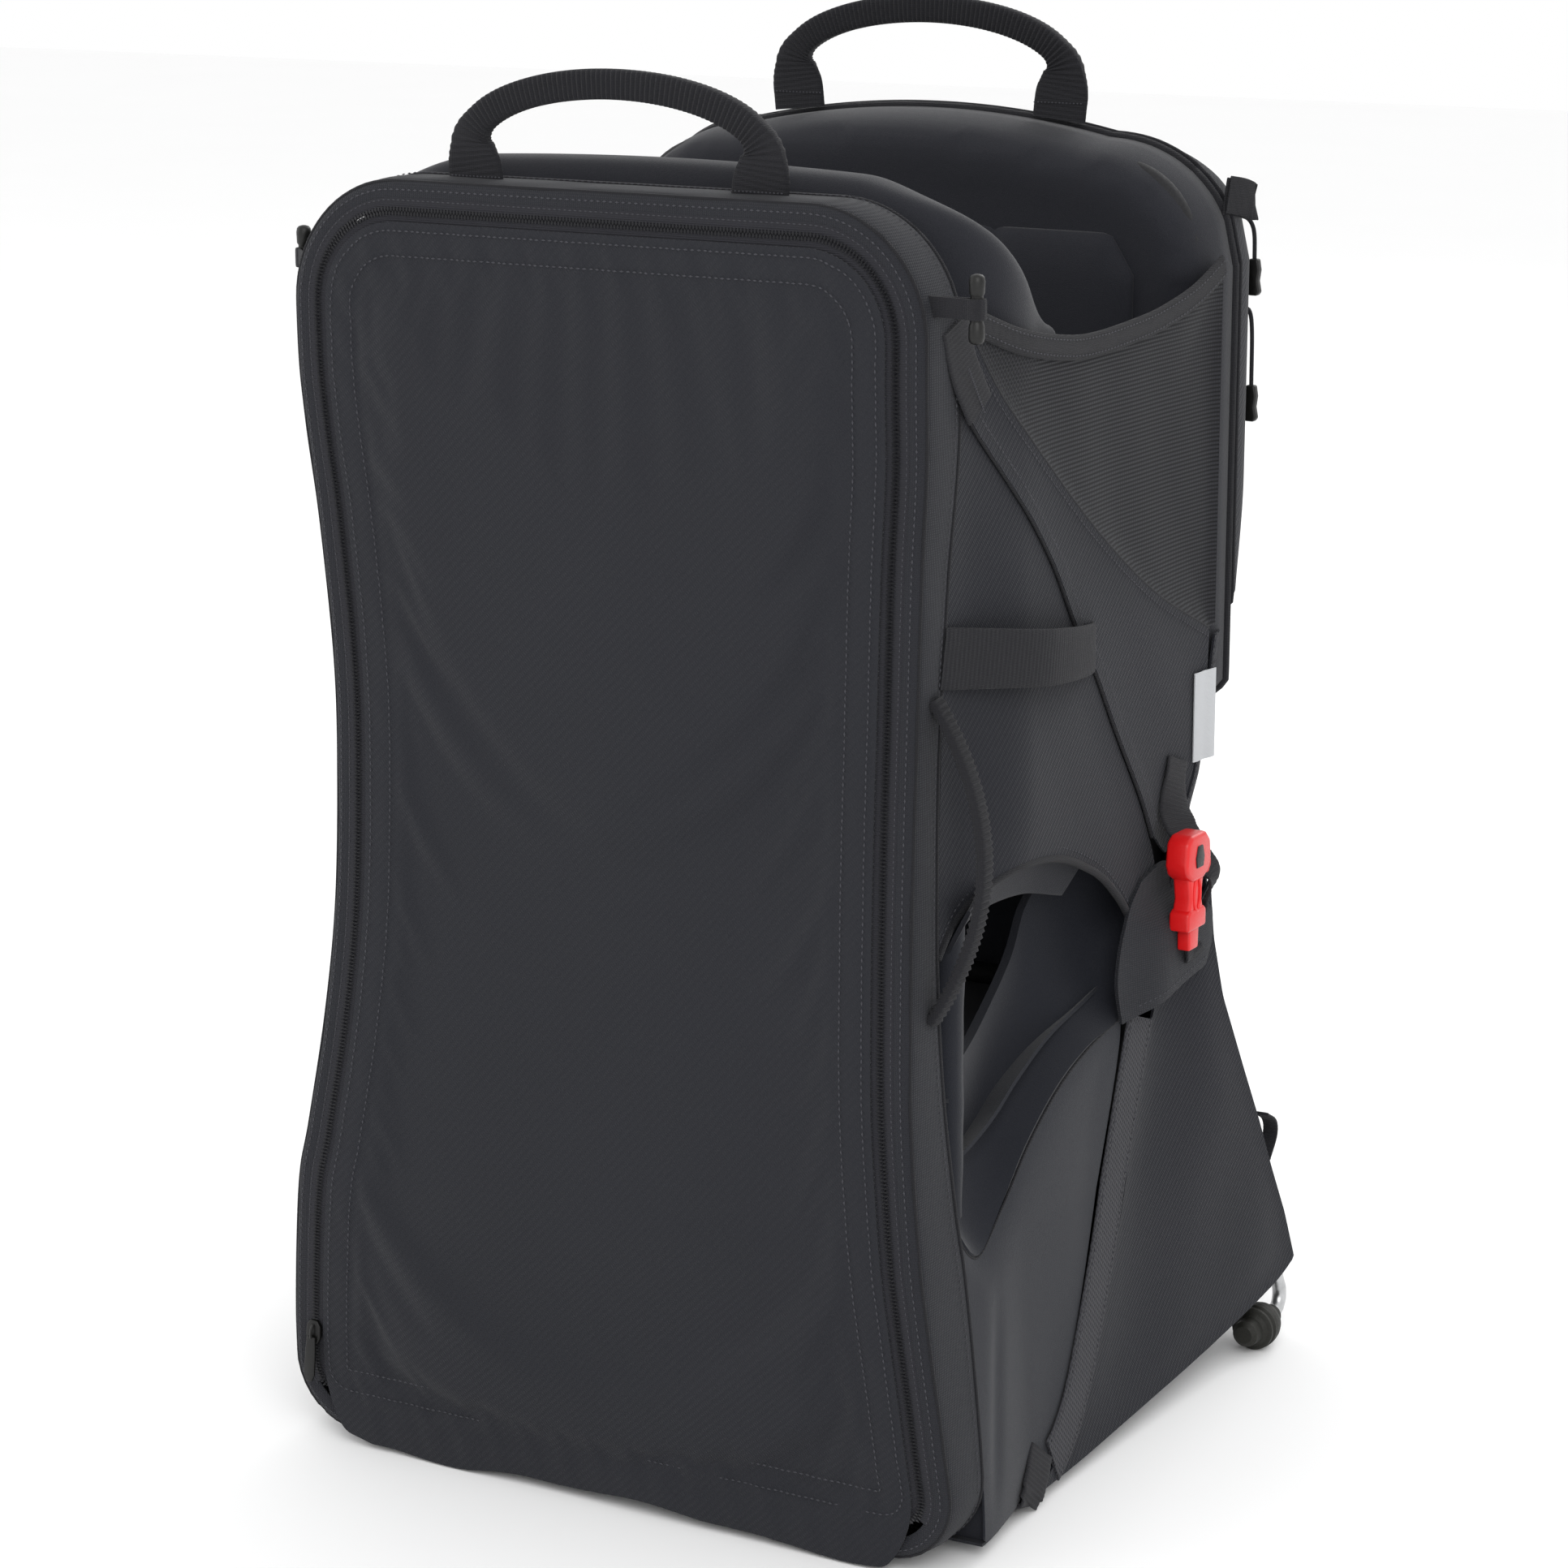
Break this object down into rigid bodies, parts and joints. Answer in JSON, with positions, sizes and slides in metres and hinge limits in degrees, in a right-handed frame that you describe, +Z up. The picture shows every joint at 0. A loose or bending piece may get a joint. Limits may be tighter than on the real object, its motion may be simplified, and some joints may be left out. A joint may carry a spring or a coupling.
{
  "type": "child carrier backpack",
  "caption": "Framed child carrier backpack with a zip-on harness cover, open cockpit, carry handles, side leg openings and a folding rear stand.",
  "frame": {"origin": "on the ground, midway between the front and rear faces, in the plane of symmetry", "axes": "+X is the wearer's left, -Y is the wearer's side, +Z is up"},
  "size_m": [0.431, 0.4339, 0.758],
  "materials": {
    "shell_fabric": "woven, matt",
    "lining": "brushed knit, matt",
    "mesh": "spacer mesh, matt",
    "webbing": "woven webbing, matt",
    "zipper": "coil zipper on woven tape",
    "label": "plain woven label, blank",
    "black_plastic": "satin moulded",
    "red_plastic": "satin moulded",
    "black_rubber": "moulded rubber",
    "bare_aluminium": "drawn, satin"
  },
  "bodies": {
    "carrier": {"back_frame_tube": "bare_aluminium", "seat_hoop_tube": "bare_aluminium", "crossbars": "bare_aluminium", "base_brackets": "black_plastic", "stand_bracket_left": "black_plastic", "stand_bracket_right": "black_plastic", "frame_fasteners": "bare_aluminium", "front_foot_left": "black_rubber", "front_foot_right": "black_rubber", "back_board": "lining", "back_pads": "lining", "shoulder_strap_left": "shell_fabric", "shoulder_strap_right": "shell_fabric", "hip_belt_left": "shell_fabric", "hip_belt_right": "shell_fabric", "hip_buckle": "black_plastic", "harness_gusset": "shell_fabric", "zipper_outer": "zipper", "front_pad": "lining", "rear_wall": "lining", "rear_pocket": "shell_fabric", "rear_lower_panel": "shell_fabric", "seat_back_pad": "lining", "side_mesh_left": "mesh", "side_mesh_right": "mesh", "side_wing_left": "shell_fabric", "side_wing_right": "shell_fabric", "front_side_left": "shell_fabric", "front_side_right": "shell_fabric", "lower_side_left": "lining", "lower_side_right": "lining", "leg_pads": "lining", "edge_tapes": "webbing", "side_grips": "webbing", "side_straps": "webbing", "hinge_flaps": "shell_fabric", "storage_bag": "shell_fabric", "buckle_socket_left": "red_plastic", "buckle_socket_right": "red_plastic", "labels": "label", "rear_zippers": "zipper"},
    "cover": {"harness_cover": "shell_fabric", "zipper_inner": "zipper"},
    "cover_zip_slider": {"cover_slider": "black_plastic"},
    "front_handle": {"front_handle": "webbing"},
    "rear_handle": {"rear_handle": "webbing"},
    "toggle_left": {"toggle_left": "black_plastic"},
    "toggle_right": {"toggle_right": "black_plastic"},
    "buckle_plug_left": {"buckle_plug_left": "red_plastic"},
    "buckle_plug_right": {"buckle_plug_right": "red_plastic"},
    "stand": {"stand_rod": "bare_aluminium", "stand_foot_left": "black_rubber", "stand_foot_right": "black_rubber"},
    "rear_slider_upper": {"rear_slider_upper": "black_plastic"},
    "rear_slider_lower": {"rear_slider_lower": "black_plastic"},
    "rear_pull_upper": {"rear_pull_upper": "black_plastic"},
    "rear_pull_lower": {"rear_pull_lower": "black_plastic"},
    "seat": {"seat_saddle": "lining", "child_harness": "webbing", "harness_buckle": "red_plastic"}
  },
  "joints": [
    {"name": "stand_fold", "type": "hinge", "parent": "carrier", "child": "stand", "pos_m": [0, 0.074, 0.268], "axis": [1, 0, 0], "range_deg": [-55, 0], "deforming": ["storage_bag"]},
    {"name": "cover_open", "type": "hinge", "parent": "carrier", "child": "cover", "pos_m": [0, -0.2095, 0.015], "axis": [1, 0, 0], "range_deg": [0, 85]},
    {"name": "cover_slider_slide", "type": "slide", "parent": "cover", "child": "cover_zip_slider", "axis": [0.142, 0, 0.9899], "range_m": [0, 0.05]},
    {"name": "front_handle_fold", "type": "hinge", "parent": "carrier", "child": "front_handle", "pos_m": [0, -0.194, 0.6825], "axis": [1, 0, 0], "range_deg": [-45, 56], "stiffness_Nm_per_rad": 0.05},
    {"name": "rear_handle_fold", "type": "hinge", "parent": "carrier", "child": "rear_handle", "pos_m": [0, 0.126, 0.704], "axis": [1, 0, 0], "range_deg": [-95, 95], "stiffness_Nm_per_rad": 0.05},
    {"name": "toggle_left_swing", "type": "hinge", "parent": "carrier", "child": "toggle_left", "pos_m": [0.182, -0.203, 0.637], "axis": [0, 0, 1], "range_deg": [-60, 65]},
    {"name": "toggle_right_swing", "type": "hinge", "parent": "carrier", "child": "toggle_right", "pos_m": [-0.182, -0.203, 0.637], "axis": [0, 0, 1], "range_deg": [-13, 112]},
    {"name": "buckle_left_release", "type": "slide", "parent": "carrier", "child": "buckle_plug_left", "axis": [0, 0, -1], "range_m": [0, 0.035]},
    {"name": "buckle_right_release", "type": "slide", "parent": "carrier", "child": "buckle_plug_right", "axis": [0, 0, -1], "range_m": [0, 0.035]},
    {"name": "seat_height", "type": "slide", "parent": "carrier", "child": "seat", "axis": [0, 0.027, 0.9996], "range_m": [0, 0.08]},
    {"name": "rear_slider_upper_slide", "type": "slide", "parent": "carrier", "child": "rear_slider_upper", "axis": [-1, 0, 0], "range_m": [0, 0.31]},
    {"name": "rear_slider_lower_slide", "type": "slide", "parent": "carrier", "child": "rear_slider_lower", "axis": [-1, 0, 0], "range_m": [0, 0.31]},
    {"name": "rear_pull_upper_swing", "type": "hinge", "parent": "rear_slider_upper", "child": "rear_pull_upper", "pos_m": [0.167, 0.17, 0.645], "axis": [1, 0, 0], "range_deg": [-3, 90]},
    {"name": "rear_pull_lower_swing", "type": "hinge", "parent": "rear_slider_lower", "child": "rear_pull_lower", "pos_m": [0.167, 0.17, 0.596], "axis": [1, 0, 0], "range_deg": [-3, 90]}
  ]
}
